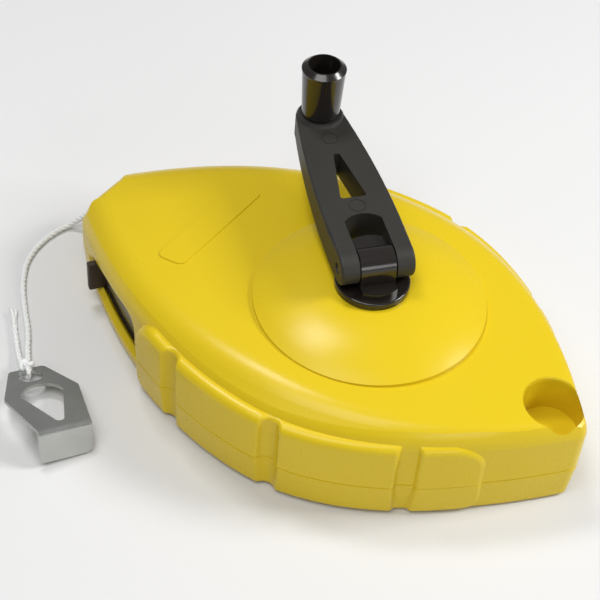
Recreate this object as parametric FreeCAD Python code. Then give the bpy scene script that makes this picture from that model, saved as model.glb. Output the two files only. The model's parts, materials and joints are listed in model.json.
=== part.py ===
import FreeCAD, Part
import math, os

# Chalk line reel: a two-shell case with a folding crank on top, a 3:1 planetary
# gear under the dome, a spool of string and a sliding chalk door in the near wall.
# Millimetres. Origin on the reel axis at the flat back face, +Z up, +X to the tail,
# -X to the nose where the string leaves.
os.makedirs("parts", exist_ok=True)
V = FreeCAD.Vector
Z = V(0, 0, 1)

# --- case
X_NOSE = -95.6          # blunt nose face
X_MID = -8.0            # widest station
Z_PART = 12.5           # joint line of the two shells
Z_TOP = 35.0            # flat top at the reel axis
WALL = 2.2
HALF_W = 49.0           # half width of the wall without its grips
NOSE_A = 102.4
NOSE_P = 1.9
TAIL_A = 79.2
TAIL_P = 2.0
TIP_R = 3.0
FLAT_W = 41.3           # half width of the flat top
FLAT_NOSE_A = 95.4
FLAT_NOSE_P = 2.25
FLAT_TAIL_A = 76.6
FLAT_TAIL_P = 2.2
BAND = 0.8              # fall of the sloping band for each millimetre outwards
FALL_NOSE = 0.00115     # how fast the top falls to the nose and to the tail
FALL_TAIL = 0.00082
X_TAIL = 72.0
CREST_NOSE = 6.0        # rounding of the flat top's edge at the nose
CREST_TAIL = 1.6        # and at the tail
NOSE_ROUND = 3.6        # rounding of the nose's top edge and of its two corners
FOLD_IN = 3.0           # the band rolls over into the wall: reach across the band
FOLD_DOWN = 4.2         # and down the wall
DRAFT = 1.0             # the lower wall leans in towards the floor
JOINT = 0.3             # small bevel on both shells at their joint line
GRIP_OUT = 2.5          # how far the grips stand out from the wall at mid length
GRIP_TAPER = 1.3        # and how much less they do so towards the tail
GRIP_IN = -1.6          # root of a grip, inside the wall
GRIP_X0 = -51.0
GRIP_X1 = 52.0
GRIP_TOP = 28.9
GRIP_FOOT = 0.8
GROOVES = (-34.0, 1.0, 35.5)
GROOVE_R = 3.3
DOME_R = 33.0
DOME_EDGE = 35.4
DOME_TOP = 40.6
HUB_BORE = 8.45
REC_X = 59.5            # pocket that takes the folded knob
REC_R = 8.4
REC_FLOOR = 20.5
RIM = 1.3               # rounding of the pocket's rim
BOSSES = ((-84.0, 11.0), (-50.0, 27.0), (47.0, 16.0))
BOSS_R = 3.5
SCREW_R = 1.25

# --- chalk door: an arc-shaped plate that slides round a far-off vertical line
DOOR_C = V(20.0, 127.3, 0)
DOOR_WALL = 181.2       # radius of the outer wall face seen from that line
DOOR_R1 = 178.1
DOOR_R0 = 176.5
DOOR_A0 = -126.0
DOOR_A1 = -112.4
DOOR_Z0 = 4.4
DOOR_Z1 = 23.8
STRIP_A0 = -122.6
STRIP_A1 = -112.9
RAIL_A1 = -104.5
SLOT_A0 = -124.85
SLOT_A1 = -114.1
SLOT_MID = -119.5
SLOT_Z0 = 6.3           # inner edge of the sloping ledge under the door
SLOT_Z1 = 22.6
TAB_A0 = -124.55        # thumb fin of the door
TAB_A1 = -123.9
TAB_R = 183.6
TAB_Z0 = 6.6
TAB_Z1 = 16.7
SCOOP_A = -125.0        # hollow in the wall ahead of the fin
SCOOP_R = 6.3

# --- reel and gears
AXLE_R = 3.0
FIT = 0.05
SPOOL_R = 40.0
DRUM_R = 10.0
SPOOL_Z0 = 3.2
SPOOL_Z1 = 25.6
FLANGE_T = 1.6
WOUND_R = 33.5
MODULE = 1.0
SUN_T = 24
PLANET_T = 12
RING_T = 48
PRESSURE = math.radians(25.0)
SLACK = 0.16            # backlash taken from every tooth
GEAR_Z0 = 26.2
GEAR_H = 5.0
ORBIT = MODULE * (SUN_T + PLANET_T) / 2.0
RING_R = 28.0
CARRIER_Z = 31.8

# --- crank
CRANK_A = 138.8         # direction of the arm, degrees from +X
CRANK_A_R = math.radians(CRANK_A)
PIVOT_Z = 48.5
ARM_L = 59.5
ARM_TOP = 4.8
ARM_END = 7.3
EAR_W = 10.6
EAR_R = 4.8
SLOT_W = 5.4
LUG_W = 5.0
LUG_R = 4.7
FLANGE_R = 10.66
FLANGE_Z0 = 40.9
FLANGE_Z1 = 42.9
PIN_R = 1.6
KNOB_Z0 = 6.0
KNOB_Z1 = 23.3
KNOB_R0 = 5.7
KNOB_R1 = 6.6
KNOB_FLOOR = 15.7
RIVET_R = 2.7

# --- string and hook
LINE_R = 0.9
LINE_Z = 12.5
LEAD_X = -79.0          # where the string inside the case lines up with the eyelet


def save(shape, name):
    shape = shape.removeSplitter()
    if shape.ShapeType == "Compound" and len(shape.Solids) == 1:
        shape = shape.Solids[0]
    shape.exportStep("parts/" + name + ".step")
    box = shape.BoundBox
    print("%-16s solids %d valid %s vol %.1f  x %.2f..%.2f y %.2f..%.2f z %.2f..%.2f" % (
        name, len(shape.Solids), shape.isValid(), shape.Volume,
        box.XMin, box.XMax, box.YMin, box.YMax, box.ZMin, box.ZMax))
    return shape


def cyl(r, z0, z1, x=0.0, y=0.0):
    return Part.makeCylinder(r, z1 - z0, V(x, y, z0))


def tube(r0, r1, z0, z1, x=0.0, y=0.0):
    return cyl(r1, z0, z1, x, y).cut(cyl(r0, z0 - 1, z1 + 1, x, y))


def box(x0, x1, y0, y1, z0, z1):
    return Part.makeBox(x1 - x0, y1 - y0, z1 - z0, V(x0, y0, z0))


def revolve(points):
    wire = Part.makePolygon([V(r, 0, z) for r, z in points] + [V(points[0][0], 0, points[0][1])])
    return Part.Face(wire).revolve(V(0, 0, 0), Z, 360)


def sector(r0, r1, a0, a1, z0, z1):
    # block between two radii and two angles round the door's line
    def at(r, a):
        t = math.radians(a)
        return DOOR_C + V(r * math.cos(t), r * math.sin(t), z0)
    am = (a0 + a1) / 2.0
    edges = [Part.Arc(at(r1, a0), at(r1, am), at(r1, a1)).toShape(),
             Part.makeLine(at(r1, a1), at(r0, a1)),
             Part.Arc(at(r0, a1), at(r0, am), at(r0, a0)).toShape(),
             Part.makeLine(at(r0, a0), at(r1, a0))]
    return Part.Face(Part.Wire(edges)).extrude(V(0, 0, z1 - z0))


# ---------------------------------------------------------------- case outline
def wall_y(x):
    if x < X_MID:
        return HALF_W * (1 - ((X_MID - x) / NOSE_A) ** NOSE_P)
    return HALF_W * (1 - ((x - X_MID) / TAIL_A) ** TAIL_P)


def wall_slope(x):
    return (wall_y(x + 0.01) - wall_y(x - 0.01)) / 0.02


def flat_y(x):
    if x < X_MID:
        return FLAT_W * (1 - ((X_MID - x) / FLAT_NOSE_A) ** FLAT_NOSE_P)
    return FLAT_W * (1 - ((x - X_MID) / FLAT_TAIL_A) ** FLAT_TAIL_P)


def top_z(x):
    return Z_TOP - (FALL_NOSE if x < 0 else FALL_TAIL) * x * x


def side_points(out, x0, x1, n):
    # points along the +Y wall, moved out along its normal
    pts = []
    for i in range(n + 1):
        x = x0 + (x1 - x0) * i / n
        m = wall_slope(x)
        s = math.sqrt(1 + m * m)
        pts.append(V(x - out * m / s, wall_y(x) + out / s, 0))
    return pts


def mirror(p):
    return V(p.x, -p.y, p.z)


def outline(out, z):
    # closed plan outline: two sides, blunt nose, rounded tail tip
    nose_x = X_NOSE - out
    tip_r = max(TIP_R + out, 0.6)
    side = side_points(out, X_NOSE, X_MID + TAIL_A * 0.975, 22)
    first = side[0]
    second = side[1]
    f = (nose_x - first.x) / (second.x - first.x)
    side[0] = first + (second - first) * f
    last = side[-1]
    m = wall_slope(X_MID + TAIL_A * 0.975)
    s = math.sqrt(1 + m * m)
    tip_r = last.y * s
    tip = V(last.x + m / s * -tip_r + 0, 0, 0)
    centre_x = last.x + m * last.y
    tip = V(centre_x + tip_r, 0, 0)
    top = Part.BSplineCurve()
    top.interpolate(side)
    low = Part.BSplineCurve()
    low.interpolate([mirror(p) for p in side])
    edges = [top.toShape(),
             Part.Arc(last, tip, mirror(last)).toShape(),
             low.toShape(),
             Part.makeLine(mirror(side[0]), side[0])]
    wire = Part.Wire(Part.__sortEdges__(edges))
    wire.translate(V(0, 0, z))
    return wire


def prism(out, z0, z1):
    return Part.Face(outline(out, z0)).extrude(V(0, 0, z1 - z0))


def leaning(out0, z0, out1, z1):
    # slice of the case whose wall leans from one outline to another
    return Part.makeLoft([outline(out0, z0), outline(out1, z1)], True, True)


def crest_reach(x, wide):
    # the edge of the flat top is rounded widely at the nose and closely at the tail
    share = (X_TAIL - x) / (X_TAIL - X_NOSE)
    return min(CREST_TAIL + (CREST_NOSE - CREST_TAIL) * share, wide * 0.7)


def crest(p, q, r):
    curve = Part.BezierCurve()
    curve.setPoles([p, q, r])
    return curve.toShape()


def roof(inset):
    # everything under the flat top and its sloping bands, as sections along the case
    lean = math.tan(math.atan(BAND) / 2.0)
    wires = []
    n = 18
    for i in range(n + 1):
        x = X_NOSE - 3.4 + (X_TAIL - X_NOSE + 3.4) * i / n
        y = flat_y(x) - inset * lean
        wide = (y + math.sqrt(y * y + 9.0)) / 2.0
        z = top_z(x) - inset - BAND * (wide - y)
        foot = wide + (z - 5.0) / BAND
        a = crest_reach(x, wide)
        inner = V(x, wide - a, z)
        outer = V(x, wide + a * 0.78, z - a * 0.78 * BAND)
        toe = V(x, foot, 5)
        wires.append(Part.Wire([
            Part.makeLine(mirror(toe), mirror(outer)),
            crest(mirror(outer), V(x, -wide, z), mirror(inner)),
            Part.makeLine(mirror(inner), inner),
            crest(inner, V(x, wide, z), outer),
            Part.makeLine(outer, toe),
            Part.makeLine(toe, mirror(toe))]))
    return Part.makeLoft(wires, True, False)


def dome(r, edge, top):
    arc = Part.Arc(V(r, 0, edge), V(r * 0.70, 0, edge + (top - edge) * 0.69), V(r * 0.36, 0, top))
    edges = [Part.makeLine(V(0, 0, 20), V(r, 0, 20)),
             Part.makeLine(V(r, 0, 20), V(r, 0, edge)),
             arc.toShape(),
             Part.makeLine(V(r * 0.36, 0, top), V(0, 0, top)),
             Part.makeLine(V(0, 0, top), V(0, 0, 20))]
    return Part.Face(Part.Wire(edges)).revolve(V(0, 0, 0), Z, 360)


def band_z(x, y):
    # height of the sloping top at any point in plan
    flat = flat_y(x)
    wide = (flat + math.sqrt(flat * flat + 9.0)) / 2.0
    return top_z(x) - BAND * (max(abs(y), wide) - flat)


def fold_section(at, out, reach, drop):
    # curved triangle taken off an upper edge of the case, at one place on the outline
    corner = band_z(at.x, at.y)
    inner = at - out * reach
    rise = (band_z(at.x - out.x * 0.5, at.y - out.y * 0.5) - corner) * reach / 0.5
    gap = out * 0.04 + V(0, 0, 0.03)
    low = at + gap + V(0, 0, corner - drop)
    top = inner + gap + V(0, 0, corner + rise)
    far_top = top + out * (reach + 4.0) + V(0, 0, 3.0)
    far_low = low + out * 4.0
    return Part.Wire([crest(low, at + gap + V(0, 0, corner), top), Part.makeLine(top, far_top),
                      Part.makeLine(far_top, far_low), Part.makeLine(far_low, low)])


def nose_round():
    # rounds the upper edge of the nose
    wires = []
    for k in range(-8, 9):
        wires.append(fold_section(V(X_NOSE, k * 2.0, 0), V(-1, 0, 0), NOSE_ROUND, NOSE_ROUND))
    return Part.makeLoft(wires, True, False)


def nose_corner(side):
    # rounds one upright corner of the nose
    y = wall_y(X_NOSE)
    along = V(1, wall_slope(X_NOSE), 0).normalize()
    corner = V(X_NOSE - 0.03, y + 0.03, -1)
    a = corner - V(0, NOSE_ROUND * 0.7, 0)
    b = corner + along * (NOSE_ROUND * 0.7)
    far_a = a - V(4, 0, 0)
    far_b = b + V(-8, 4, 0)
    edges = [crest(a, corner, b), Part.makeLine(b, far_b), Part.makeLine(far_b, far_a),
             Part.makeLine(far_a, a)]
    tool = Part.Face(Part.Wire(edges)).extrude(V(0, 0, 60))
    return tool if side > 0 else tool.mirror(V(0, 0, 0), V(0, 1, 0))


def fold_round():
    # rolls the band over into the wall from the nose, round the tail and back
    x1 = X_MID + TAIL_A * 0.975
    n = 20
    half = []
    for i in range(n + 1):
        x = X_NOSE - 2.0 + (x1 - X_NOSE + 2.0) * i / n
        m = wall_slope(x)
        s = math.sqrt(1 + m * m)
        half.append((V(x, wall_y(x), 0), V(-m / s, 1 / s, 0)))
    last, out = half[-1]
    centre = V(last.x - out.x * last.y / out.y, 0, 0)
    r = last.y / out.y
    a = math.atan2(out.y, out.x)
    tip = []
    for k in (0.66, 0.33):
        d = V(math.cos(a * k), math.sin(a * k), 0)
        tip.append((centre + d * r, d))
    near = half + tip + [(centre + V(r, 0, 0), V(1, 0, 0))]
    far = [(mirror(p), mirror(d)) for p, d in reversed(near[:-1])]
    return Part.makeLoft([fold_section(p, d, FOLD_IN, FOLD_DOWN) for p, d in near + far], True, False)


def wall_at(x, out, z):
    # point beside the +Y wall, moved out along its normal
    m = wall_slope(x)
    s = math.sqrt(1 + m * m)
    return V(x - out * m / s, wall_y(x) + out / s, z)


def stand_out(p):
    # distance of a point from the +Y wall
    return (p.y - wall_y(p.x)) / math.sqrt(1 + wall_slope(p.x) ** 2)


def grip_out(x):
    return GRIP_OUT - GRIP_TAPER * (max(0.0, x) / 42.0) ** 1.4


def grip_plan(z, lean):
    # strip along the +Y wall, standing out less towards the tail
    outer = []
    inner = []
    n = 12
    for i in range(n + 1):
        x = GRIP_X0 - 2.0 + (GRIP_X1 - GRIP_X0 + 4.0) * i / n
        outer.append(wall_at(x, grip_out(x) - lean, z))
        inner.append(wall_at(x, GRIP_IN, z))
    a = Part.BSplineCurve()
    a.interpolate(outer)
    b = Part.BSplineCurve()
    b.interpolate(inner)
    ends = [Part.makeLine(outer[-1], inner[-1]), Part.makeLine(inner[0], outer[0])]
    return Part.Wire(Part.__sortEdges__([a.toShape(), b.toShape()] + ends))


def grip_side(z0, z1, r, top_round):
    # side view of a grip with one pair of rounded corners, extruded across the +Y side
    c = r * math.sqrt(0.5)
    zr = z1 if top_round else z0
    zs = z0 if top_round else z1
    k = -1 if top_round else 1
    x0 = GRIP_X0
    x1 = GRIP_X1
    a = V(x0, 0, zr + k * r)
    b = V(x0 + r, 0, zr)
    d = V(x1 - r, 0, zr)
    e = V(x1, 0, zr + k * r)
    edges = [Part.makeLine(V(x0, 0, zs), a),
             Part.Arc(a, V(x0 + r - c, 0, zr + k * (r - c)), b).toShape(),
             Part.makeLine(b, d),
             Part.Arc(d, V(x1 - r + c, 0, zr + k * (r - c)), e).toShape(),
             Part.makeLine(e, V(x1, 0, zs)),
             Part.makeLine(V(x1, 0, zs), V(x0, 0, zs))]
    return Part.Face(Part.Wire(edges)).extrude(V(0, 70, 0))


def edge_mid(e):
    return e.valueAt((e.FirstParameter + e.LastParameter) / 2.0)


def at_joint(e):
    return e.BoundBox.ZLength < 0.02 and abs(e.BoundBox.ZMin - Z_PART) < 0.01


def groove_edge(e):
    m = edge_mid(e)
    near = min(abs(m.x - gx) for gx in GROOVES)
    return near < 4.5 and e.BoundBox.ZLength > 0.8 and stand_out(m) > 0.2


def seam_edge(e):
    # outer edges of a grip at the joint line, without its two ends
    m = edge_mid(e)
    end = min(abs(m.x - GRIP_X0), abs(m.x - GRIP_X1)) < 0.3 and e.BoundBox.XLength < 1.9
    return at_joint(e) and stand_out(m) > -1.0 and not end


def finish_grip(pad, soft):
    # rounded over, grooved across, groove edges eased, bevelled at the joint line
    pad = pad.makeFillet(soft, [e for e in pad.Edges if stand_out(edge_mid(e)) > 0.6 and not at_joint(e)])
    for gx in GROOVES:
        p = wall_at(gx, grip_out(gx) + 0.9, 0)
        pad = pad.cut(cyl(GROOVE_R, -1, 40, p.x, p.y))
    pad = pad.makeFillet(1.2, [e for e in pad.Edges if groove_edge(e)])
    return pad.makeChamfer(JOINT, [e for e in pad.Edges if seam_edge(e)])


def upper_grip():
    pad = Part.Face(grip_plan(Z_PART, 0)).extrude(V(0, 0, GRIP_TOP - Z_PART))
    return finish_grip(pad.common(grip_side(Z_PART, GRIP_TOP, 9.0, True)).Solids[0], 2.6)


def lower_grip():
    pad = Part.makeLoft([grip_plan(GRIP_FOOT, 0.9), grip_plan(Z_PART, 0)], True, True)
    return finish_grip(pad.common(grip_side(GRIP_FOOT, Z_PART, 4.0, False)).Solids[0], 1.4)


def both_sides(shape):
    other = shape.mirror(V(0, 0, 0), V(0, 1, 0))
    return [shape, other]


def boss_points():
    pts = []
    for x, y in BOSSES:
        pts.append((x, y))
        pts.append((x, -y))
    return pts


# ---------------------------------------------------------------- upper shell
def upper_skin():
    skin = prism(0, Z_PART + JOINT, 45).common(roof(0)).cut(fold_round()).cut(nose_round())
    skin = skin.fuse(leaning(-JOINT, Z_PART, 0, Z_PART + JOINT))
    for pad in both_sides(upper_grip()):
        skin = skin.fuse(pad)
    return skin.cut([nose_corner(1), nose_corner(-1)])


def wall_point(r, a):
    t = math.radians(a)
    return DOOR_C + V(r * math.cos(t), r * math.sin(t), 0)


def slot_cut():
    # arched window in the near wall for the chalk door, its top following the case
    mid = math.radians(SLOT_MID)
    out = V(math.cos(mid), math.sin(mid), 0)
    along = V(-math.sin(mid), math.cos(mid), 0)
    base = DOOR_C + out * (DOOR_WALL - WALL - 2.0)

    def at(a, z):
        return base + along * (DOOR_WALL * math.sin(math.radians(a - SLOT_MID))) + V(0, 0, z)
    top = [at(SLOT_A0, 17.6), at(-123.0, 19.2), at(-121.0, 20.7), at(-119.0, 21.6), at(-117.0, 22.4),
           at(-115.6, SLOT_Z1), at(-114.7, 21.6), at(-114.2, 18.8), at(SLOT_A1, 15.0)]
    arch = Part.BSplineCurve()
    arch.interpolate(top)
    low_a = at(SLOT_A0, SLOT_Z0)
    low_b = at(SLOT_A1, SLOT_Z0)
    edges = [arch.toShape(), Part.makeLine(top[-1], low_b), Part.makeLine(low_b, low_a),
             Part.makeLine(low_a, top[0])]
    return Part.Face(Part.Wire(edges)).extrude(out * 9.0)


def rim_round():
    # rounding of the pocket's rim, square to the falling top
    curve = Part.BezierCurve()
    curve.setPoles([V(REC_R, 0, -RIM), V(REC_R, 0, 0.02), V(REC_R + RIM, 0, 0.02)])
    points = [V(REC_R + RIM, 0, 0.02), V(REC_R + RIM + 1, 0, 3), V(0, 0, 3), V(0, 0, -RIM),
              V(REC_R, 0, -RIM)]
    edges = [curve.toShape()]
    for a, b in zip(points, points[1:]):
        edges.append(Part.makeLine(a, b))
    tool = Part.Face(Part.Wire(edges)).revolve(V(0, 0, 0), Z, 360)
    tool.rotate(V(0, 0, 0), V(0, 1, 0), math.degrees(2 * FALL_TAIL * REC_X))
    tool.translate(V(REC_X, 0, top_z(REC_X)))
    return tool


def scoop():
    # hollow that lets a thumb reach the fin, rounded over at its top
    p = wall_point(DOOR_WALL + SCOOP_R - 2.0, SCOOP_A)
    ball = Part.makeSphere(SCOOP_R, p + V(0, 0, 11.6))
    return ball.fuse(cyl(SCOOP_R, SLOT_Z0, 11.6, p.x, p.y))


def scoop_backing(z0, z1):
    return sector(DOOR_R1 + 0.3, DOOR_WALL - 1.0, SCOOP_A - 2.6, SLOT_A0, z0, z1)


def exit_hole():
    return Part.makeCylinder(2.55, 12, V(X_NOSE - 1, 0, LINE_Z), V(1, 0, 0))


def felt_ribs(z0, z1):
    # two cross ribs that hold the felt wiper behind the nose, notched for the string
    rib = box(-87.9, -86.6, -8.0, 8.0, z0, z1)
    return rib.cut(Part.makeCylinder(1.8, 12, V(-92, 0, LINE_Z), V(1, 0, 0)))


def upper_case():
    shell = upper_skin().fuse([dome(DOME_R, DOME_EDGE, DOME_TOP), label_panel()])
    shell = shell.common(box(-120, 100, -80, 80, Z_PART, 60))
    room = prism(-WALL, Z_PART - 1, 45).common(roof(WALL))
    shell = shell.cut(room)
    shell = shell.cut(dome(DOME_R - WALL, DOME_EDGE - WALL, DOME_TOP - WALL))
    add = [tube(RING_R + FIT, RING_R + 2.4, 26.0, 35.4),
           tube(RING_R - 2.4, RING_R + 2.4, 31.7, 35.4),
           tube(HUB_BORE, 12.6, 38.0, DOME_TOP - 0.5),
           cyl(REC_R + 2.0, REC_FLOOR - 2.0, 40, REC_X, 0),
           felt_ribs(Z_PART, 40),
           scoop_backing(Z_PART, 21.0),
           upper_rail()]
    for x, y in boss_points():
        add.append(cyl(BOSS_R, Z_PART, 40, x, y))
    inside = prism(-WALL * 0.6, Z_PART, 45).common(roof(WALL * 0.6))
    inside = inside.fuse(dome(DOME_R - 1, DOME_EDGE - 1, DOME_TOP))
    pieces = [piece.common(inside) for piece in add]
    shell = shell.fuse(pieces)
    cuts = [cyl(HUB_BORE, 30, 50), cyl(REC_R, REC_FLOOR, 50, REC_X, 0), exit_hole(),
            slot_cut(), scoop()]
    for x, y in boss_points():
        cuts.append(cyl(SCREW_R, Z_PART - 1, 24.0, x, y))
    return shell.cut(cuts).cut(rim_round())


def label_panel():
    # blank raised panel across the nose, lying on the sloping top
    panel = box(-60.4, -51.0, -20.0, 20.0, 25.0, 45.0).common(roof(-0.3))
    upright = [e for e in panel.Edges if e.BoundBox.ZLength > 3 and e.BoundBox.XLength < 0.1]
    return panel.makeFillet(2.5, upright)


def upper_rail():
    ledge = sector(DOOR_R0 - 2.0, DOOR_WALL - 1.0, DOOR_A0, RAIL_A1, DOOR_Z1 + 0.25, 25.4)
    lip = sector(DOOR_R0 - 2.0, DOOR_R0 - 0.3, DOOR_A0, RAIL_A1, 20.4, 25.4)
    return ledge.fuse(lip)


# ---------------------------------------------------------------- lower shell
def lower_skin():
    foot = prism(0, 0, Z_PART)
    foot = foot.makeFillet(3.4, [e for e in foot.Edges if e.BoundBox.ZMax < 0.1])
    skin = foot.common(leaning(-DRAFT, 0, 0, Z_PART - JOINT))
    skin = skin.fuse(leaning(0, Z_PART - JOINT, -JOINT, Z_PART))
    for pad in both_sides(lower_grip()):
        skin = skin.fuse(pad)
    return skin.cut([nose_corner(1), nose_corner(-1)])


def lower_rail():
    return sector(DOOR_R0 - 2.0, DOOR_R0 - 0.3, DOOR_A0, RAIL_A1, 1.5, SLOT_Z0 + 1.0)


def ledge_cut():
    # sloping ledge below the door: a wedge taken off the outer edge of the wall
    inner = DOOR_WALL - WALL
    p = [V(inner, 0, SLOT_Z0), V(inner + 6, 0, SLOT_Z0 - 6.0),
         V(inner + 6, 0, Z_PART + 1), V(inner, 0, Z_PART + 1)]
    face = Part.Face(Part.makePolygon(p + [p[0]]))
    face.rotate(V(0, 0, 0), Z, SLOT_A0 - 0.6)
    wedge = face.revolve(V(0, 0, 0), Z, SLOT_A1 - SLOT_A0 + 0.6)
    wedge.translate(DOOR_C)
    return wedge.fuse(slot_cut())


def lower_case():
    shell = lower_skin().cut(prism(-WALL, WALL, Z_PART + 1))
    add = [cyl(7.0, 0.5, SPOOL_Z0 - 0.3), felt_ribs(1.0, Z_PART), lower_rail(),
           scoop_backing(1.5, Z_PART)]
    for x, y in boss_points():
        add.append(cyl(BOSS_R, 0.5, Z_PART, x, y))
    inside = prism(-WALL * 0.6, 0.4, Z_PART)
    pieces = [piece.common(inside) for piece in add]
    shell = shell.fuse(pieces)
    cuts = [cyl(AXLE_R, 1.0, 20), exit_hole(), ledge_cut(), scoop()]
    for x, y in boss_points():
        cuts.append(cyl(3.0, -1, 5.0, x, y))
        cuts.append(cyl(SCREW_R + 0.2, 0, 20, x, y))
    return shell.cut(cuts)


def case_screws():
    screws = []
    for x, y in boss_points():
        screw = cyl(2.7, 3.1, 5.0, x, y).fuse(cyl(SCREW_R, 5.0, 22.0, x, y))
        cross = box(x - 0.3, x + 0.3, y - 1.5, y + 1.5, 2, 4.2)
        cross = cross.fuse(box(x - 1.5, x + 1.5, y - 0.3, y + 0.3, 2, 4.2))
        screws.append(screw.cut(cross))
    return Part.makeCompound(screws)


# ---------------------------------------------------------------- chalk door
def chalk_door():
    plate = sector(DOOR_R0, DOOR_R1, DOOR_A0, DOOR_A1, DOOR_Z0, DOOR_Z1).common(roof(WALL + 0.6))
    view = sector(DOOR_R0 - 1, DOOR_R1 + 1, STRIP_A0 + 0.3, STRIP_A1 - 0.3, SLOT_Z0 + 1.6, 21.6)
    fin = sector(DOOR_R1 - 0.5, TAB_R, TAB_A0, TAB_A1, TAB_Z0, TAB_Z1)
    fin = fin.makeFillet(0.5, [e for e in fin.Edges if outside_wall(e)])
    return plate.cut(view).cut(door_window()).fuse(fin)


def outside_wall(edge):
    m = edge.valueAt((edge.FirstParameter + edge.LastParameter) / 2.0)
    return math.hypot(m.x - DOOR_C.x, m.y - DOOR_C.y) > DOOR_WALL + 1.0


def door_window():
    # smoked strip let into the door so that the chalk can be seen
    return sector(DOOR_R1 - 0.8, DOOR_R1, STRIP_A0, STRIP_A1, SLOT_Z0 + 0.9, 22.4)


# ---------------------------------------------------------------- reel
def spool_axle():
    return cyl(AXLE_R, 1.0, 36.5)


def spool():
    profile = [(AXLE_R + FIT, SPOOL_Z0), (SPOOL_R, SPOOL_Z0), (SPOOL_R, SPOOL_Z0 + FLANGE_T),
               (DRUM_R, SPOOL_Z0 + FLANGE_T), (DRUM_R, SPOOL_Z1 - FLANGE_T),
               (SPOOL_R, SPOOL_Z1 - FLANGE_T), (SPOOL_R, SPOOL_Z1), (6.0, SPOOL_Z1),
               (6.0, GEAR_Z0 + GEAR_H - 0.2), (AXLE_R + FIT, GEAR_Z0 + GEAR_H - 0.2)]
    body = revolve(profile)
    hollow = revolve([(5.2, 3), (8.0, 3), (8.0, 22.0), (5.2, 22.0)])
    return body.cut(hollow)


def wound_line():
    # the string, laid in a slightly barrelled coil between the flanges
    z0 = SPOOL_Z0 + FLANGE_T
    z1 = SPOOL_Z1 - FLANGE_T
    edges = [Part.makeLine(V(DRUM_R, 0, z0), V(WOUND_R - 1.0, 0, z0)),
             Part.Arc(V(WOUND_R - 1.0, 0, z0), V(WOUND_R, 0, (z0 + z1) / 2),
                      V(WOUND_R - 1.0, 0, z1)).toShape(),
             Part.makeLine(V(WOUND_R - 1.0, 0, z1), V(DRUM_R, 0, z1)),
             Part.makeLine(V(DRUM_R, 0, z1), V(DRUM_R, 0, z0))]
    return Part.Face(Part.Wire(edges)).revolve(V(0, 0, 0), Z, 360)


# ---------------------------------------------------------------- gears
def involute(a):
    return math.tan(a) - a


def tooth_half_angle(r, teeth, thin):
    # half the angle of a tooth at radius r
    pitch_r = MODULE * teeth / 2.0
    base_r = pitch_r * math.cos(PRESSURE)
    a = math.acos(min(1.0, base_r / r))
    half = (math.pi * MODULE / 2.0 - thin) / (2.0 * pitch_r)
    return half + involute(PRESSURE) - involute(a)


def gear_wire(teeth, root, tip, thin, phase):
    # closed outline of a gear, straight-sided between a few points of each flank
    pitch_r = MODULE * teeth / 2.0
    base_r = pitch_r * math.cos(PRESSURE)
    low = max(root, base_r)
    radii = [low, (low + pitch_r) / 2.0, pitch_r, (pitch_r + tip) / 2.0, tip]
    if teeth > 20:
        radii = [low, pitch_r, tip]
    if base_r > root + 0.05:
        radii = [root] + radii
    pts = []
    for i in range(teeth):
        centre = phase + 2 * math.pi * i / teeth
        for r in radii:
            a = centre - tooth_half_angle(max(r, base_r), teeth, thin)
            pts.append(V(r * math.cos(a), r * math.sin(a), 0))
        for r in reversed(radii):
            a = centre + tooth_half_angle(max(r, base_r), teeth, thin)
            pts.append(V(r * math.cos(a), r * math.sin(a), 0))
    return Part.makePolygon(pts + [pts[0]])


def gear(teeth, bore, phase):
    pitch_r = MODULE * teeth / 2.0
    wire = gear_wire(teeth, pitch_r - 1.2 * MODULE, pitch_r + MODULE, SLACK, phase)
    solid = Part.Face(wire).extrude(V(0, 0, GEAR_H))
    return solid.cut(cyl(bore, -1, GEAR_H + 1))


def sun_gear():
    solid = gear(SUN_T, 6.0, CRANK_A_R)
    solid.translate(V(0, 0, GEAR_Z0))
    return solid


def planet_angle(k):
    return CRANK_A_R + 2 * math.pi * k / 3.0


def planet_gear(k):
    # a space faces the sun and another faces the ring
    a = planet_angle(k)
    solid = gear(PLANET_T, 1.6, a + math.pi / PLANET_T)
    solid.translate(V(ORBIT * math.cos(a), ORBIT * math.sin(a), GEAR_Z0))
    return solid


def ring_gear():
    # teeth point inwards; the outside is held by the collar under the dome
    pitch_r = MODULE * RING_T / 2.0
    inside = gear_wire(RING_T, pitch_r - MODULE, pitch_r + 1.2 * MODULE, -SLACK,
                       CRANK_A_R + math.pi / RING_T)
    cut = Part.Face(inside).extrude(V(0, 0, GEAR_H + 2))
    blank = cyl(RING_R, 0, GEAR_H + 0.4)
    cut.translate(V(0, 0, -1))
    ring = blank.cut(cut)
    ring.translate(V(0, 0, GEAR_Z0))
    return ring


def planet_carrier():
    plate = cyl(21.0, CARRIER_Z, CARRIER_Z + 2.4)
    plate = plate.fuse(cyl(8.6, CARRIER_Z, 36.0))
    cuts = [hexagon(5.55, CARRIER_Z - 1, 37.0)]
    for k in range(3):
        a = planet_angle(k)
        b = a + math.pi / 3.0
        cuts.append(cyl(1.55, 30, 40, ORBIT * math.cos(a), ORBIT * math.sin(a)))
        cuts.append(cyl(4.0, 30, 40, 14.5 * math.cos(b), 14.5 * math.sin(b)))
    return plate.cut(cuts)


def planet_pins():
    pins = []
    for k in range(3):
        a = planet_angle(k)
        x = ORBIT * math.cos(a)
        y = ORBIT * math.sin(a)
        pin = cyl(1.55, GEAR_Z0 + 0.3, CARRIER_Z + 2.4, x, y)
        pins.append(pin)
    return Part.makeCompound(pins)


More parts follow.
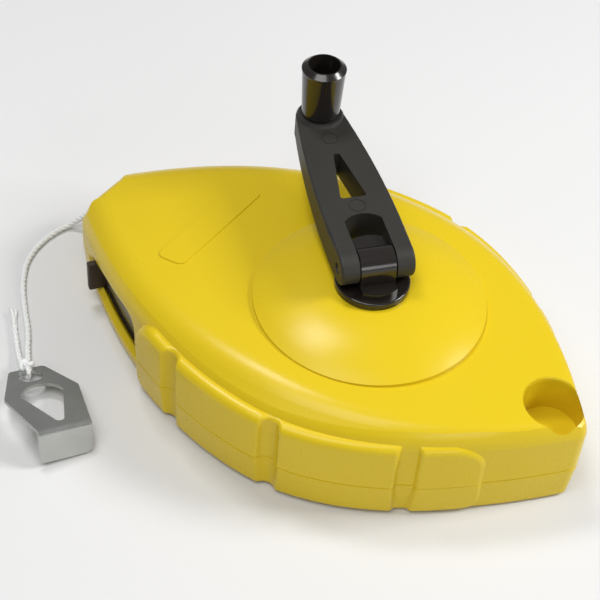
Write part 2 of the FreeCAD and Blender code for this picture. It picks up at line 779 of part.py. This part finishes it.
def hexagon(apothem, z0, z1):
    r = apothem / math.cos(math.pi / 6)
    pts = [V(r * math.cos(math.pi * i / 3), r * math.sin(math.pi * i / 3), z0) for i in range(7)]
    solid = Part.Face(Part.makePolygon(pts)).extrude(V(0, 0, z1 - z0))
    solid.rotate(V(0, 0, 0), Z, CRANK_A)
    return solid


# ---------------------------------------------------------------- crank
def to_crank(shape, lift):
    # crank parts are drawn with the arm along +Y and turned to the working pose
    shape.rotate(V(0, 0, 0), Z, CRANK_A - 90.0)
    shape.translate(V(0, 0, lift))
    return shape


def crank_hub():
    lug = cyl(9.2, FLANGE_Z1 - 0.5, 50.5).common(box(-LUG_W, LUG_W, 0, 10, 40, 60))
    barrel = Part.makeCylinder(LUG_R, 2 * LUG_W, V(-LUG_W, 0, PIVOT_Z), V(1, 0, 0))
    neck = box(-LUG_W, LUG_W, -LUG_R, LUG_R, FLANGE_Z1 - 0.5, PIVOT_Z)
    shelf = cyl(8.8, FLANGE_Z1 - 0.5, 44.7).common(box(-LUG_W, LUG_W, -10, 0, 40, 60))
    head = lug.fuse([barrel, neck, shelf])
    flange = cyl(FLANGE_R, FLANGE_Z0, FLANGE_Z1)
    rim = [e for e in flange.Edges if abs(e.BoundBox.ZMax - FLANGE_Z1) < 0.01]
    flange = flange.makeFillet(0.5, [e for e in rim if e.BoundBox.ZLength < 0.01])
    shank = cyl(HUB_BORE - FIT, 38.05, FLANGE_Z0 + 0.2)
    shank = shank.fuse([cyl(7.2, 37.2, 38.1), cyl(HUB_BORE - FIT, 36.2, 37.25)])
    shank = shank.fuse(hexagon(5.5, CARRIER_Z + 0.1, 36.3).copy())
    body = flange.fuse([to_crank(head, 0), shank])
    body = body.cut(cyl(AXLE_R + FIT, 30, 36.8))
    return body.cut(to_crank(pin_bore(PIN_R + FIT), PIVOT_Z))


def pin_bore(r):
    return Part.makeCylinder(r, 40, V(-20, 0, 0), V(1, 0, 0))


def hub_clip():
    clip = tube(7.2, 10.6, 37.3, 37.8)
    gap = box(-2.6, 2.6, 0, 14, 36, 39)
    return to_crank(clip.cut(gap), 0)


def arm_plan(inset, z0, z1):
    w0 = EAR_W - inset
    w1 = ARM_END - inset
    mid = V(10.3 - inset, 30.0, z0)
    a = V(w0, 0, z0)
    b = V(w1, ARM_L, z0)
    edges = [Part.Arc(a, mid, b).toShape(),
             Part.Arc(b, V(0, ARM_L + w1, z0), V(-w1, ARM_L, z0)).toShape(),
             Part.Arc(V(-w1, ARM_L, z0), V(-mid.x, 30.0, z0), V(-w0, 0, z0)).toShape(),
             Part.makeLine(V(-w0, 0, z0), a)]
    return Part.Face(Part.Wire(edges)).extrude(V(0, 0, z1 - z0))


def window_plan(grow, z0, z1):
    p = [V(-3.9 - grow, 22.2 - grow, z0), V(3.9 + grow, 22.2 - grow, z0),
         V(0.9 + grow, 41.3 + grow, z0), V(-0.9 - grow, 41.3 + grow, z0)]
    solid = Part.Face(Part.makePolygon(p + [p[0]])).extrude(V(0, 0, z1 - z0))
    upright = [e for e in solid.Edges if e.BoundBox.ZLength > 1]
    return solid.makeFillet(0.8, upright)


def arm_slot():
    end = cyl(7.1, -12, 12, 0, 8.1)
    slot = box(-SLOT_W, SLOT_W, -9, 12.7, -12, 12)
    return slot.fuse(end.common(box(-SLOT_W, SLOT_W, 5, 20, -12, 12)))


def crank_arm():
    arm = arm_plan(0, -4.4, ARM_TOP)
    wedge = Part.Face(Part.makePolygon([V(0, 8, -4.4), V(0, 80, -4.4), V(0, 80, -1.9), V(0, 8, -4.4)]))
    wedge = wedge.extrude(V(40, 0, 0))
    wedge.translate(V(-20, 0, 0))
    arm = arm.cut(wedge)
    sides = [e for e in arm.Edges if e.BoundBox.ZMin > ARM_TOP - 0.1 and e.BoundBox.YMax > 1]
    arm = arm.makeFillet(0.9, sides)
    barrel = Part.makeCylinder(EAR_R, 2 * EAR_W, V(-EAR_W, 0, 0), V(1, 0, 0))
    rims = [e for e in barrel.Edges if e.BoundBox.XLength < 0.01]
    barrel = barrel.makeFillet(0.8, rims)
    boss = Part.makeCone(7.1, 6.5, 0.9, V(0, ARM_L, ARM_TOP - 0.05))
    arm = arm.fuse([barrel, boss])
    pocket = arm_plan(2.4, -6, 2.2).common(box(-20, 20, 18.0, 50.5, -10, 10))
    pocket = pocket.cut(window_plan(1.8, -7, 5))
    cuts = [arm_slot(), window_plan(0, -7, 7), pin_bore(PIN_R), pocket,
            cyl(RIVET_R, -5, 10, 0, ARM_L),
            cyl(4.0, -6, -2.0, 0, ARM_L),
            tube(2.3, 2.5, ARM_TOP - 0.15, ARM_TOP + 1, 0, 48.3),
            tube(2.3, 2.5, ARM_TOP - 0.15, ARM_TOP + 1, 0, 18.6)]
    return to_crank(arm.cut(cuts), PIVOT_Z)


def crank_pin():
    pin = Part.makeCylinder(PIN_R, 2 * EAR_W - 0.8, V(-EAR_W + 0.4, 0, 0), V(1, 0, 0))
    return to_crank(pin, PIVOT_Z)


def crank_knob():
    profile = [(RIVET_R + FIT, KNOB_Z0), (KNOB_R0 - 0.4, KNOB_Z0), (KNOB_R0, KNOB_Z0 + 0.4),
               (KNOB_R1 - 0.15, KNOB_Z1 - 1.9), (KNOB_R1, KNOB_Z1 - 1.6), (KNOB_R1, KNOB_Z1 - 1.2),
               (KNOB_R1 - 1.5, KNOB_Z1), (4.7, KNOB_Z1), (4.4, KNOB_FLOOR), (RIVET_R + FIT, KNOB_FLOOR)]
    knob = revolve(profile)
    knob.translate(V(0, ARM_L, 0))
    return to_crank(knob, PIVOT_Z)


def knob_rivet():
    # split rivet: its two prongs snap over the floor of the hollow knob
    shank = cyl(RIVET_R, -2.0, KNOB_FLOOR + 0.4)
    head = Part.makeCone(3.5, 2.5, 2.2, V(0, 0, KNOB_FLOOR + 0.3))
    foot = cyl(3.8, -3.2, -2.0)
    split = box(-5, 5, -0.45, 0.45, 9.0, 30)
    rivet = shank.fuse([head, foot]).cut(split)
    rivet.translate(V(0, ARM_L, 0))
    return to_crank(rivet, PIVOT_Z)


# ---------------------------------------------------------------- string
def string_tube(points, r, name):
    # straight runs joined by arcs tangent to both
    pts = [V(*p) for p in points]
    edges = []
    start = pts[0]
    radii = []
    for i in range(1, len(pts) - 1):
        a = pts[i - 1].sub(pts[i])
        b = pts[i + 1].sub(pts[i])
        turn = math.pi - a.getAngle(b)
        short = min(a.Length, b.Length)
        cut = 0.45 * short
        radii.append(cut / math.tan(turn / 2.0))
        u = V(a).normalize()
        w = V(b).normalize()
        p1 = pts[i] + u * cut
        p2 = pts[i] + w * cut
        bis = (u + w).normalize()
        d = cut / math.cos(a.getAngle(b) / 2.0)
        centre = pts[i] + bis * d
        mid = centre + (pts[i] - centre).normalize() * radii[-1]
        edges.append(Part.makeLine(start, p1))
        edges.append(Part.Arc(p1, mid, p2).toShape())
        start = p2
    edges.append(Part.makeLine(start, pts[-1]))
    wire = Part.Wire(edges)
    face = Part.Face(Part.Wire(Part.Circle(pts[0], pts[1].sub(pts[0]), r).toShape()))
    tube_solid = wire.makePipeShell([face.OuterWire], True, False)
    length = sum(e.Length for e in edges)
    print("%s length %.1f volume %.1f section x length %.1f radii %s" % (
        name, length, tube_solid.Volume, math.pi * r * r * length,
        " ".join("%.1f" % q for q in radii)))
    return tube_solid


REST_Z = LINE_R + 0.05
OUTSIDE = [(X_NOSE, 0, LINE_Z), (-101.3, 0.1, 11.4), (-105.6, 0.3, 5.6), (-110.4, -2.6, REST_Z),
           (-112.0, -8.8, REST_Z), (-111.8, -16.5, REST_Z), (-109.6, -24.0, REST_Z),
           (-104.0, -31.8, REST_Z), (-96.5, -39.2, REST_Z), (-89.5, -45.3, REST_Z),
           (-84.2, -51.8, REST_Z), (-79.9, -56.1, 2.8)]
TAIL = [(-80.8, -57.9, 2.6), (-85.4, -54.4, REST_Z), (-92.2, -48.2, REST_Z), (-98.8, -41.9, REST_Z)]
KNOT_AT = V(-78.9, -57.7, 3.3)
KNOT_R = 2.1


def line_lead():
    # taut string inside the case, from the coil to the nose
    r = WOUND_R + LINE_R + 0.4
    a = math.acos(r / -LEAD_X)
    return string_tube([(-r * math.cos(a), r * math.sin(a), 14.4), (-50.0, 13.6, 13.5),
                        (LEAD_X, 0, LINE_Z), (X_NOSE, 0, LINE_Z)], LINE_R, "line_lead")


def line_eyelet():
    barrel = Part.makeCylinder(2.5, 3.4, V(X_NOSE - 0.5, 0, LINE_Z), V(1, 0, 0))
    collar = Part.makeCylinder(3.5, 0.5, V(X_NOSE - 0.5, 0, LINE_Z), V(1, 0, 0))
    bore = Part.makeCylinder(1.3, 10, V(X_NOSE - 3, 0, LINE_Z), V(1, 0, 0))
    return barrel.fuse(collar).cut(bore)


def line_wiper():
    felt = box(-92.2, -88.0, -5.0, 5.0, 7.5, 17.5)
    hole = Part.makeCylinder(LINE_R + 0.05, 10, V(-95, 0, LINE_Z), V(1, 0, 0))
    return felt.cut(hole)


def line_knot():
    # knot on the hook's back edge, with the loop that passes through the hook's hole
    ball = Part.makeSphere(KNOT_R, KNOT_AT)
    loop = to_hook(Part.makeTorus(1.7, LINE_R * 0.9, V(0.8, 0, HOOK_T / 2.0), V(0, 1, 0)))
    knot = ball.fuse(loop).cut([string_tube(OUTSIDE, LINE_R, "outside"), string_tube(TAIL, LINE_R, "tail")])
    knot = knot.cut(hook()).common(box(-100, -60, -80, -40, 0.05, 20))
    return max(knot.Solids, key=lambda part: part.Volume)


# ---------------------------------------------------------------- hook
HOOK_L = 33.0           # back edge to the outside of the bend
HOOK_T = 1.0
HOOK_LIP = 10.3         # height of the turned-down end
HOOK_HALF = 7.8
HOOK_TILT = 14.9
HOOK_ROLL = -7.5
HOOK_HEADING = -27.3
HOOK_AT = V(-78.7, -58.4, 1.6)
HOOK_HOLE_R = 2.7


def to_hook(shape):
    # the hook lies propped on its lip and on the loop under its back edge
    shape.rotate(V(0, 0, 0), V(1, 0, 0), HOOK_ROLL)
    shape.rotate(V(0, 0, 0), V(0, 1, 0), -HOOK_TILT)
    shape.rotate(V(0, 0, 0), Z, HOOK_HEADING)
    shape.translate(HOOK_AT)
    return shape


def hook():
    bend = 1.5
    foot = HOOK_T - HOOK_LIP
    p = [V(0, -5.3, 0), V(13.5, -11.1, 0), V(HOOK_L - bend, -HOOK_HALF, 0), V(HOOK_L - bend, HOOK_HALF, 0),
         V(13.5, 11.1, 0), V(0, 5.3, 0)]
    plate = Part.Face(Part.makePolygon(p + [p[0]])).extrude(V(0, 0, HOOK_T))
    corners = [e for e in plate.Edges if e.BoundBox.ZLength > 0.5 and e.BoundBox.XMax < HOOK_L - 2]
    plate = plate.makeFillet(1.6, corners)
    lip = box(HOOK_L - HOOK_T, HOOK_L, -HOOK_HALF, HOOK_HALF, foot, HOOK_T - bend)
    feet = [e for e in lip.Edges if e.BoundBox.XLength > 0.5 and e.BoundBox.ZMax < foot + 0.1]
    lip = lip.makeFillet(1.8, feet)
    corner = box(HOOK_L - bend, HOOK_L, -HOOK_HALF, HOOK_HALF, HOOK_T - bend, HOOK_T)
    outer = Part.makeCylinder(bend, 20, V(HOOK_L - bend, -10, HOOK_T - bend), V(0, 1, 0))
    inner = Part.makeCylinder(bend - HOOK_T, 24, V(HOOK_L - bend, -12, HOOK_T - bend), V(0, 1, 0))
    body = plate.fuse([lip, corner.common(outer).cut(inner)])
    hole = box(1.6, 1.6 + 2 * HOOK_HOLE_R, -0.9, 0.9, -1, 2)
    hole = hole.fuse([cyl(HOOK_HOLE_R, -1, 2, 1.6 + HOOK_HOLE_R, -0.9),
                      cyl(HOOK_HOLE_R, -1, 2, 1.6 + HOOK_HOLE_R, 0.9)])
    return to_hook(body.cut([hole, hook_window()]))


def hook_window():
    # fan-shaped opening: an arc behind the string hole, narrowing towards the bend
    a = V(14.0, -6.3, -1)
    b = V(14.0, 6.3, -1)
    edges = [Part.Arc(a, V(9.0, 0, -1), b).toShape(),
             Part.makeLine(b, V(28.1, 1.4, -1)),
             Part.Arc(V(28.1, 1.4, -1), V(29.3, 0, -1), V(28.1, -1.4, -1)).toShape(),
             Part.makeLine(V(28.1, -1.4, -1), a)]
    return Part.Face(Part.Wire(edges)).extrude(V(0, 0, 3))


save(lower_case(), "lower_case")
save(upper_case(), "upper_case")
save(case_screws(), "case_screws")
save(chalk_door(), "chalk_door")
save(door_window(), "door_window")
save(spool_axle(), "spool_axle")
save(spool(), "spool")
save(wound_line(), "wound_line")
save(sun_gear(), "sun_gear")
for number in range(3):
    save(planet_gear(number), "planet_gear_%d" % (number + 1))
save(ring_gear(), "ring_gear")
save(planet_carrier(), "planet_carrier")
save(planet_pins(), "planet_pins")
save(crank_hub(), "crank_hub")
save(hub_clip(), "hub_clip")
save(crank_arm(), "crank_arm")
save(crank_pin(), "crank_pin")
save(crank_knob(), "crank_knob")
save(knob_rivet(), "knob_rivet")
save(line_lead(), "line_lead")
save(line_eyelet(), "line_eyelet")
save(line_wiper(), "line_wiper")
save(string_tube(OUTSIDE, LINE_R, "chalk_line"), "chalk_line")
save(string_tube(TAIL, LINE_R, "line_tail"), "line_tail")
save(line_knot(), "line_knot")
save(hook(), "hook")
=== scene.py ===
import json
import math

import bmesh
import bpy
from mathutils import Matrix, Vector


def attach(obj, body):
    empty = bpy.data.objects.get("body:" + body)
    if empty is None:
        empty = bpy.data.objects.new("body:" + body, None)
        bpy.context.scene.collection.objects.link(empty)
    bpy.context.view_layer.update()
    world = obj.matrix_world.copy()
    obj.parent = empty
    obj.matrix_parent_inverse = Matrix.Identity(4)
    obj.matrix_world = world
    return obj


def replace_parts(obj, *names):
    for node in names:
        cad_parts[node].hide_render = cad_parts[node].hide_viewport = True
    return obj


# Looks of the chalk line reel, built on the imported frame. Metres, +Z up, origin on
# the reel axis at the flat back face, nose towards -X. The case, crank, door and hook
# are CAD nodes with new materials; the three pieces of free string are made here.
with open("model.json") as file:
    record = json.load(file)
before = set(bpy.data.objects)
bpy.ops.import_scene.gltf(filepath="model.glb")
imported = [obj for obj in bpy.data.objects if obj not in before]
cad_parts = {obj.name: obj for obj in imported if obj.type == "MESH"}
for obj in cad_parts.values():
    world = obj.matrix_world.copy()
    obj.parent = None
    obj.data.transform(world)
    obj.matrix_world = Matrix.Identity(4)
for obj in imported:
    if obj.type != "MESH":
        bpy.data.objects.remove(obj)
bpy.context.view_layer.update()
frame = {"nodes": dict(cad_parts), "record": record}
NODES = frame["nodes"]
MM = 0.001


# ---------------------------------------------------------------- materials
COAT_ROUGH = 0.12
DRIFT_DETAIL = 3.0      # octaves of the slow colour drift
GRAIN_DETAIL = 4.0      # octaves of the fine grain


def new_material(name):
    mat = bpy.data.materials.new(name)
    mat.use_nodes = True
    return mat, mat.node_tree.nodes, mat.node_tree.links


def noise(nodes, links, scale, detail, coords, stretch=(1, 1, 1)):
    mapping = nodes.new("ShaderNodeMapping")
    mapping.inputs["Scale"].default_value = stretch
    links.new(coords, mapping.inputs["Vector"])
    tex = nodes.new("ShaderNodeTexNoise")
    tex.inputs["Scale"].default_value = scale
    tex.inputs["Detail"].default_value = detail
    links.new(mapping.outputs["Vector"], tex.inputs["Vector"])
    return tex.outputs["Fac"]


def ramp(nodes, links, value, low, high):
    node = nodes.new("ShaderNodeMix")
    node.data_type = "RGBA"
    node.inputs["A"].default_value = (*low, 1)
    node.inputs["B"].default_value = (*high, 1)
    links.new(value, node.inputs["Factor"])
    return node.outputs["Result"]


def span(nodes, links, value, low, high):
    node = nodes.new("ShaderNodeMapRange")
    node.inputs["To Min"].default_value = low
    node.inputs["To Max"].default_value = high
    links.new(value, node.inputs["Value"])
    return node.outputs["Result"]


def bump(nodes, links, height, strength, distance):
    node = nodes.new("ShaderNodeBump")
    node.inputs["Strength"].default_value = strength
    node.inputs["Distance"].default_value = distance
    links.new(height, node.inputs["Height"])
    return node.outputs["Normal"]


def surface(name, dark, light, rough, grain, depth, metallic=0.0, patch=60.0, coat=0.0,
            stretch=(1, 1, 1), strength=0.3, shine=0.5):
    # a moulded or metal surface: slow colour drift, uneven gloss and a fine grain.
    # patch and grain are noise scales per metre, depth is the grain's height in metres
    mat, nodes, links = new_material(name)
    bsdf = nodes["Principled BSDF"]
    coords = nodes.new("ShaderNodeTexCoord").outputs["Object"]
    drift = noise(nodes, links, patch, DRIFT_DETAIL, coords)
    fine = noise(nodes, links, grain, GRAIN_DETAIL, coords, stretch)
    links.new(ramp(nodes, links, drift, dark, light), bsdf.inputs["Base Color"])
    links.new(span(nodes, links, fine, rough[0], rough[1]), bsdf.inputs["Roughness"])
    links.new(bump(nodes, links, fine, strength, depth), bsdf.inputs["Normal"])
    bsdf.inputs["Metallic"].default_value = metallic
    bsdf.inputs["Specular IOR Level"].default_value = shine
    bsdf.inputs["Coat Weight"].default_value = coat
    bsdf.inputs["Coat Roughness"].default_value = COAT_ROUGH
    return mat


def smoked(name, dark, light, rough, patch, clear):
    # tinted see-through plastic, a little cloudy
    mat, nodes, links = new_material(name)
    bsdf = nodes["Principled BSDF"]
    coords = nodes.new("ShaderNodeTexCoord").outputs["Object"]
    cloud = noise(nodes, links, patch, DRIFT_DETAIL, coords)
    links.new(ramp(nodes, links, cloud, dark, light), bsdf.inputs["Base Color"])
    links.new(span(nodes, links, cloud, rough[0], rough[1]), bsdf.inputs["Roughness"])
    bsdf.inputs["Transmission Weight"].default_value = clear
    return mat


YELLOW = surface("yellow_plastic", dark=(0.66, 0.478, 0.009), light=(0.69, 0.505, 0.012),
                 rough=(0.25, 0.31), grain=2600.0, depth=0.00006, patch=25.0, strength=0.10,
                 shine=0.30)
MATTE = surface("textured_black", dark=(0.020, 0.019, 0.016), light=(0.030, 0.029, 0.025),
                rough=(0.42, 0.58), grain=2200.0, depth=0.00012, strength=0.45, shine=0.35)
GLOSS = surface("polished_black", dark=(0.010, 0.008, 0.007), light=(0.016, 0.013, 0.011),
                rough=(0.16, 0.24), grain=900.0, depth=0.00004, coat=0.3, strength=0.15)
BROWN = surface("door_brown", dark=(0.022, 0.012, 0.007), light=(0.034, 0.020, 0.012),
                rough=(0.40, 0.55), grain=2400.0, depth=0.0001)
SMOKE = smoked("smoked_strip", dark=(0.05, 0.045, 0.03), light=(0.10, 0.09, 0.055),
               rough=(0.12, 0.3), patch=180.0, clear=0.55)
# the hook's sheet is brushed along Y
STEEL = surface("satin_steel", dark=(0.42, 0.43, 0.405), light=(0.54, 0.55, 0.525),
                rough=(0.14, 0.27), grain=1600.0, depth=0.00003, metallic=0.84, patch=120.0,
                stretch=(1, 0.08, 1), strength=0.2)
BRIGHT = surface("bright_steel", dark=(0.50, 0.50, 0.49), light=(0.62, 0.62, 0.61),
                 rough=(0.18, 0.30), grain=1500.0, depth=0.00003, metallic=1.0)
ZINC = surface("dark_zinc", dark=(0.20, 0.20, 0.21), light=(0.30, 0.30, 0.31),
               rough=(0.30, 0.42), grain=1500.0, depth=0.00004, metallic=1.0)
ACETAL = surface("natural_acetal", dark=(0.68, 0.66, 0.60), light=(0.74, 0.73, 0.68),
                 rough=(0.34, 0.46), grain=2000.0, depth=0.00006)
STRING = surface("string_white", dark=(0.74, 0.76, 0.76), light=(0.88, 0.89, 0.88),
                 rough=(0.75, 0.95), grain=3500.0, depth=0.00015, patch=900.0, strength=0.6)
FELT = surface("felt_grey", dark=(0.42, 0.40, 0.35), light=(0.62, 0.60, 0.54),
               rough=(0.85, 1.0), grain=3000.0, depth=0.0004, strength=0.8)

FINISH = {
    "case_plastic": YELLOW, "door_plastic": BROWN, "smoked_strip": SMOKE, "crank_matte": MATTE,
    "crank_gloss": GLOSS, "gear_plastic": ACETAL, "bright_steel": BRIGHT, "screw_steel": ZINC,
    "hook_steel": STEEL, "white_string": STRING, "felt": FELT,
}
for part in frame["record"]["subparts"]:
    node = NODES[part["node"]]
    finish = FINISH[part["material_slot"]]
    if not node.material_slots:
        node.data.materials.append(finish)
    for material_slot in node.material_slots:
        material_slot.material = finish


# ---------------------------------------------------------------- string
# All in millimetres. OUTSIDE and TAIL are the routes of the CAD solids.
STRING_R = 0.9
REST_Z = STRING_R + 0.05
OUTSIDE = ((-95.6, 0, 12.5), (-101.3, 0.1, 11.4), (-105.6, 0.3, 5.6), (-110.4, -2.6, REST_Z),
           (-112.0, -8.8, REST_Z), (-111.8, -16.5, REST_Z), (-109.6, -24.0, REST_Z),
           (-104.0, -31.8, REST_Z), (-96.5, -39.2, REST_Z), (-89.5, -45.3, REST_Z),
           (-84.2, -51.8, REST_Z), (-79.9, -56.1, 2.8))
TAIL = ((-80.8, -57.9, 2.6), (-85.4, -54.4, REST_Z), (-92.2, -48.2, REST_Z),
        (-98.8, -41.9, REST_Z))
SPLINE_STEPS = 20

STRANDS = 3
STRAND_SIDES = 8
STRAND_SHARE = 0.60                 # a strand's radius against the string's
LAY = 5.8                           # one turn of the strands
SWELL = 1.06                        # the strands' outside against the string's radius
FRAY = 7.0                          # the tail's last stretch, where the strands come apart
FRAY_OPEN = 1.6                     # how much further out they end
FRAY_SLACK = 0.3                    # share of the twist lost there
FLOOR_GAP = 0.03

KNOT_AT = Vector((-78.9, -57.7, 3.3))
KNOT_R = 2.55
KNOT_AIM = Vector((0.66, -0.74, 0.10))
KNOT_STEPS = 72
KNOT_LAY = 4.0
PULLED = 0.85                       # radius left where the string is pulled tight
TREFOIL_REACH = 3.0                 # widest point of the curve below, before scaling
EYE_R = 1.7
EYE_AT = Vector((0.8, 0, 0.5))      # on the hook, from the middle of its back edge
EYE_STEPS = 32
EYE_LAY = 3.6
HOOK_AT = Vector((-78.7, -58.4, 1.6))
HOOK_TURNS = (("Z", -27.3), ("Y", -14.9), ("X", -7.5))


def route_line(name, route):
    # points along the smooth line of a route, in millimetres, read from its spline
    curve = bpy.data.curves.new(name, "CURVE")
    curve.dimensions = "3D"
    curve.resolution_u = SPLINE_STEPS
    spline = curve.splines.new("NURBS")
    spline.points.add(len(route) - 1)
    for point, place in zip(spline.points, route):
        point.co = (*place, 1)
    spline.order_u = 3
    spline.use_endpoint_u = True
    obj = bpy.data.objects.new(name, curve)
    mesh = bpy.data.meshes.new_from_object(obj)
    line = [v.co.copy() for v in mesh.vertices]
    bpy.data.objects.remove(obj)
    bpy.data.meshes.remove(mesh)
    return line


def carried_frames(line):
    # each point with its direction and two crosswise ones that don't spin along the way
    across = (line[1] - line[0]).orthogonal().normalized()
    found = []
    for i, place in enumerate(line):
        along = (line[min(i + 1, len(line) - 1)] - line[max(i - 1, 0)]).normalized()
        across = (across - along * across.dot(along)).normalized()
        found.append((place, along, across, along.cross(across)))
    return found


def add_tube(bm, centres, radius):
    # tube round a row of centres, closed at both ends
    rings = []
    for place, _, across, up in carried_frames(centres):
        ring = []
        for k in range(STRAND_SIDES):
            a = 2 * math.pi * k / STRAND_SIDES
            side = (across * math.cos(a) + up * math.sin(a)) * radius
            ring.append(bm.verts.new((place + side) * MM))
        rings.append(ring)
    for a, b in zip(rings, rings[1:]):
        for k in range(STRAND_SIDES):
            n = (k + 1) % STRAND_SIDES
            bm.faces.new((a[k], a[n], b[n], b[k]))
    bm.faces.new(reversed(rings[0]))
    bm.faces.new(rings[-1])


def add_twisted(bm, line, radius, pitch, fray=0.0):
    # strands laid round a line; over the last stretch, fray long, they come apart
    strand = radius * STRAND_SHARE
    done = [0.0]
    for a, b in zip(line, line[1:]):
        done.append(done[-1] + (b - a).length)
    frames = carried_frames(line)
    for turn in range(STRANDS):
        centres = []
        for (place, _, across, up), at in zip(frames, done):
            loose = max(0.0, at - (done[-1] - fray)) / fray if fray else 0.0
            angle = 2 * math.pi * (at / pitch * (1 - FRAY_SLACK * loose) + turn / STRANDS)
            out = (radius - strand) * (1 + FRAY_OPEN * loose * loose)
            centre = place + (across * math.cos(angle) + up * math.sin(angle)) * out
            if fray:
                centre.z = max(centre.z, strand + FLOOR_GAP)
            centres.append(centre)
        add_tube(bm, centres, strand)


def string_piece(name, bm, node_name):
    mesh = bpy.data.meshes.new(name)
    bm.to_mesh(mesh)
    bm.free()
    for face in mesh.polygons:
        face.use_smooth = True
    mesh.materials.append(STRING)
    obj = bpy.data.objects.new(name, mesh)
    bpy.context.collection.objects.link(obj)
    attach(obj, "case")
    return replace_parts(obj, node_name)


def string_tail():
    bm = bmesh.new()
    add_twisted(bm, route_line("tail_route", TAIL), STRING_R, LAY, FRAY)
    return string_piece("tail_strands", bm, "line_tail")


def string_knot():
    # a tight overhand knot, which is a trefoil curve, and the eye of string that goes
    # through the hook's hole
    bm = bmesh.new()
    aim = KNOT_AIM.to_track_quat("Z", "Y")
    size = (KNOT_R - STRING_R * 0.8) / TREFOIL_REACH
    turns = []
    for i in range(KNOT_STEPS + 1):
        a = 2 * math.pi * i / KNOT_STEPS
        turns.append(KNOT_AT + aim @ Vector((
            size * (math.sin(a) + 2 * math.sin(2 * a)),
            size * (math.cos(a) - 2 * math.cos(2 * a)),
            size * -1.5 * math.sin(3 * a))))
    add_twisted(bm, turns, STRING_R * PULLED, KNOT_LAY)
    turned = Matrix.Identity(4)
    for axis, angle in HOOK_TURNS:
        turned = turned @ Matrix.Rotation(math.radians(angle), 4, axis)
    eye = []
    for i in range(EYE_STEPS + 1):
        a = 2 * math.pi * i / EYE_STEPS
        eye.append(HOOK_AT + turned @ (EYE_AT + Vector((math.cos(a), 0, math.sin(a))) * EYE_R))
    add_twisted(bm, eye, STRING_R * PULLED, EYE_LAY)
    return string_piece("knot_strands", bm, "line_knot")


def string_outside():
    line = route_line("string_route", OUTSIDE)
    bm = bmesh.new()
    add_twisted(bm, line, STRING_R * SWELL, LAY)
    obj = string_piece("string_strands", bm, "chalk_line")
    string_tail()
    string_knot()


# ---------------------------------------------------------------- stage
FLOOR_SIZE = 4.0
FLOOR_Z = -0.0002                   # just under the string, so that they don't share a face
FLOOR_GREY = 0.70
FLOOR_ROUGH = 0.9
FLOOR_SHINE = 0.1
WORLD_LIGHT = 0.22
LIGHT_AIM = (-0.01, -0.01, 0.02)
# name, place, width and depth, watts
LIGHTS = (("key", (0.56, 0.42, 0.62), (0.28, 0.28), 5.4),
          ("overhead", (0.02, -0.38, 0.90), (0.6, 0.5), 3.9),
          ("gloss", (-0.36, 0.10, 0.90), (0.26, 0.20), 2.8),
          ("side", (0.75, -0.50, 0.30), (0.4, 0.3), 1.3))
CAMERA_AT = (0.1365, -0.2655, 0.3362)
AZIMUTH = 30.95                     # degrees from -Y
ELEVATION = 45.64
ROLL = 4.94
LENS = 90.4
SENSOR = 36.0


def floor():
    mesh = bpy.data.meshes.new("floor")
    bm = bmesh.new()
    bmesh.ops.create_grid(bm, x_segments=1, y_segments=1, size=FLOOR_SIZE)
    bm.to_mesh(mesh)
    bm.free()
    obj = bpy.data.objects.new("floor", mesh)
    bpy.context.collection.objects.link(obj)
    obj.location = (0, 0, FLOOR_Z)
    mat, nodes, _ = new_material("pale_floor")
    bsdf = nodes["Principled BSDF"]
    bsdf.inputs["Base Color"].default_value = (FLOOR_GREY, FLOOR_GREY, FLOOR_GREY, 1)
    bsdf.inputs["Roughness"].default_value = FLOOR_ROUGH
    bsdf.inputs["Specular IOR Level"].default_value = FLOOR_SHINE
    mesh.materials.append(mat)


def lights():
    world = bpy.data.worlds.new("studio")
    world.use_nodes = True
    background = world.node_tree.nodes["Background"]
    background.inputs["Color"].default_value = (1, 1, 1, 1)
    background.inputs["Strength"].default_value = WORLD_LIGHT
    bpy.context.scene.world = world
    for name, place, size, power in LIGHTS:
        data = bpy.data.lights.new(name, "AREA")
        data.shape = "RECTANGLE"
        data.size, data.size_y = size
        data.energy = power
        obj = bpy.data.objects.new(name, data)
        bpy.context.collection.objects.link(obj)
        obj.location = place
        towards = Vector(LIGHT_AIM) - Vector(place)
        obj.rotation_euler = towards.to_track_quat("-Z", "Y").to_euler()


def camera():
    azimuth = math.radians(AZIMUTH)
    elevation = math.radians(ELEVATION)
    roll = math.radians(ROLL)
    back = Vector((math.cos(elevation) * math.sin(azimuth),
                   -math.cos(elevation) * math.cos(azimuth),
                   math.sin(elevation)))
    level = Vector((math.cos(azimuth), math.sin(azimuth), 0))
    rise = back.cross(level)
    right = level * math.cos(roll) + rise * math.sin(roll)
    up = rise * math.cos(roll) - level * math.sin(roll)
    data = bpy.data.cameras.new("camera")
    data.lens = LENS
    data.sensor_width = SENSOR
    obj = bpy.data.objects.new("camera", data)
    bpy.context.collection.objects.link(obj)
    turn = Matrix((right, up, back)).transposed().to_4x4()
    obj.matrix_world = Matrix.Translation(CAMERA_AT) @ turn
    bpy.context.scene.camera = obj
    bpy.context.scene.view_settings.view_transform = "Standard"


string_outside()
floor()
lights()
camera()
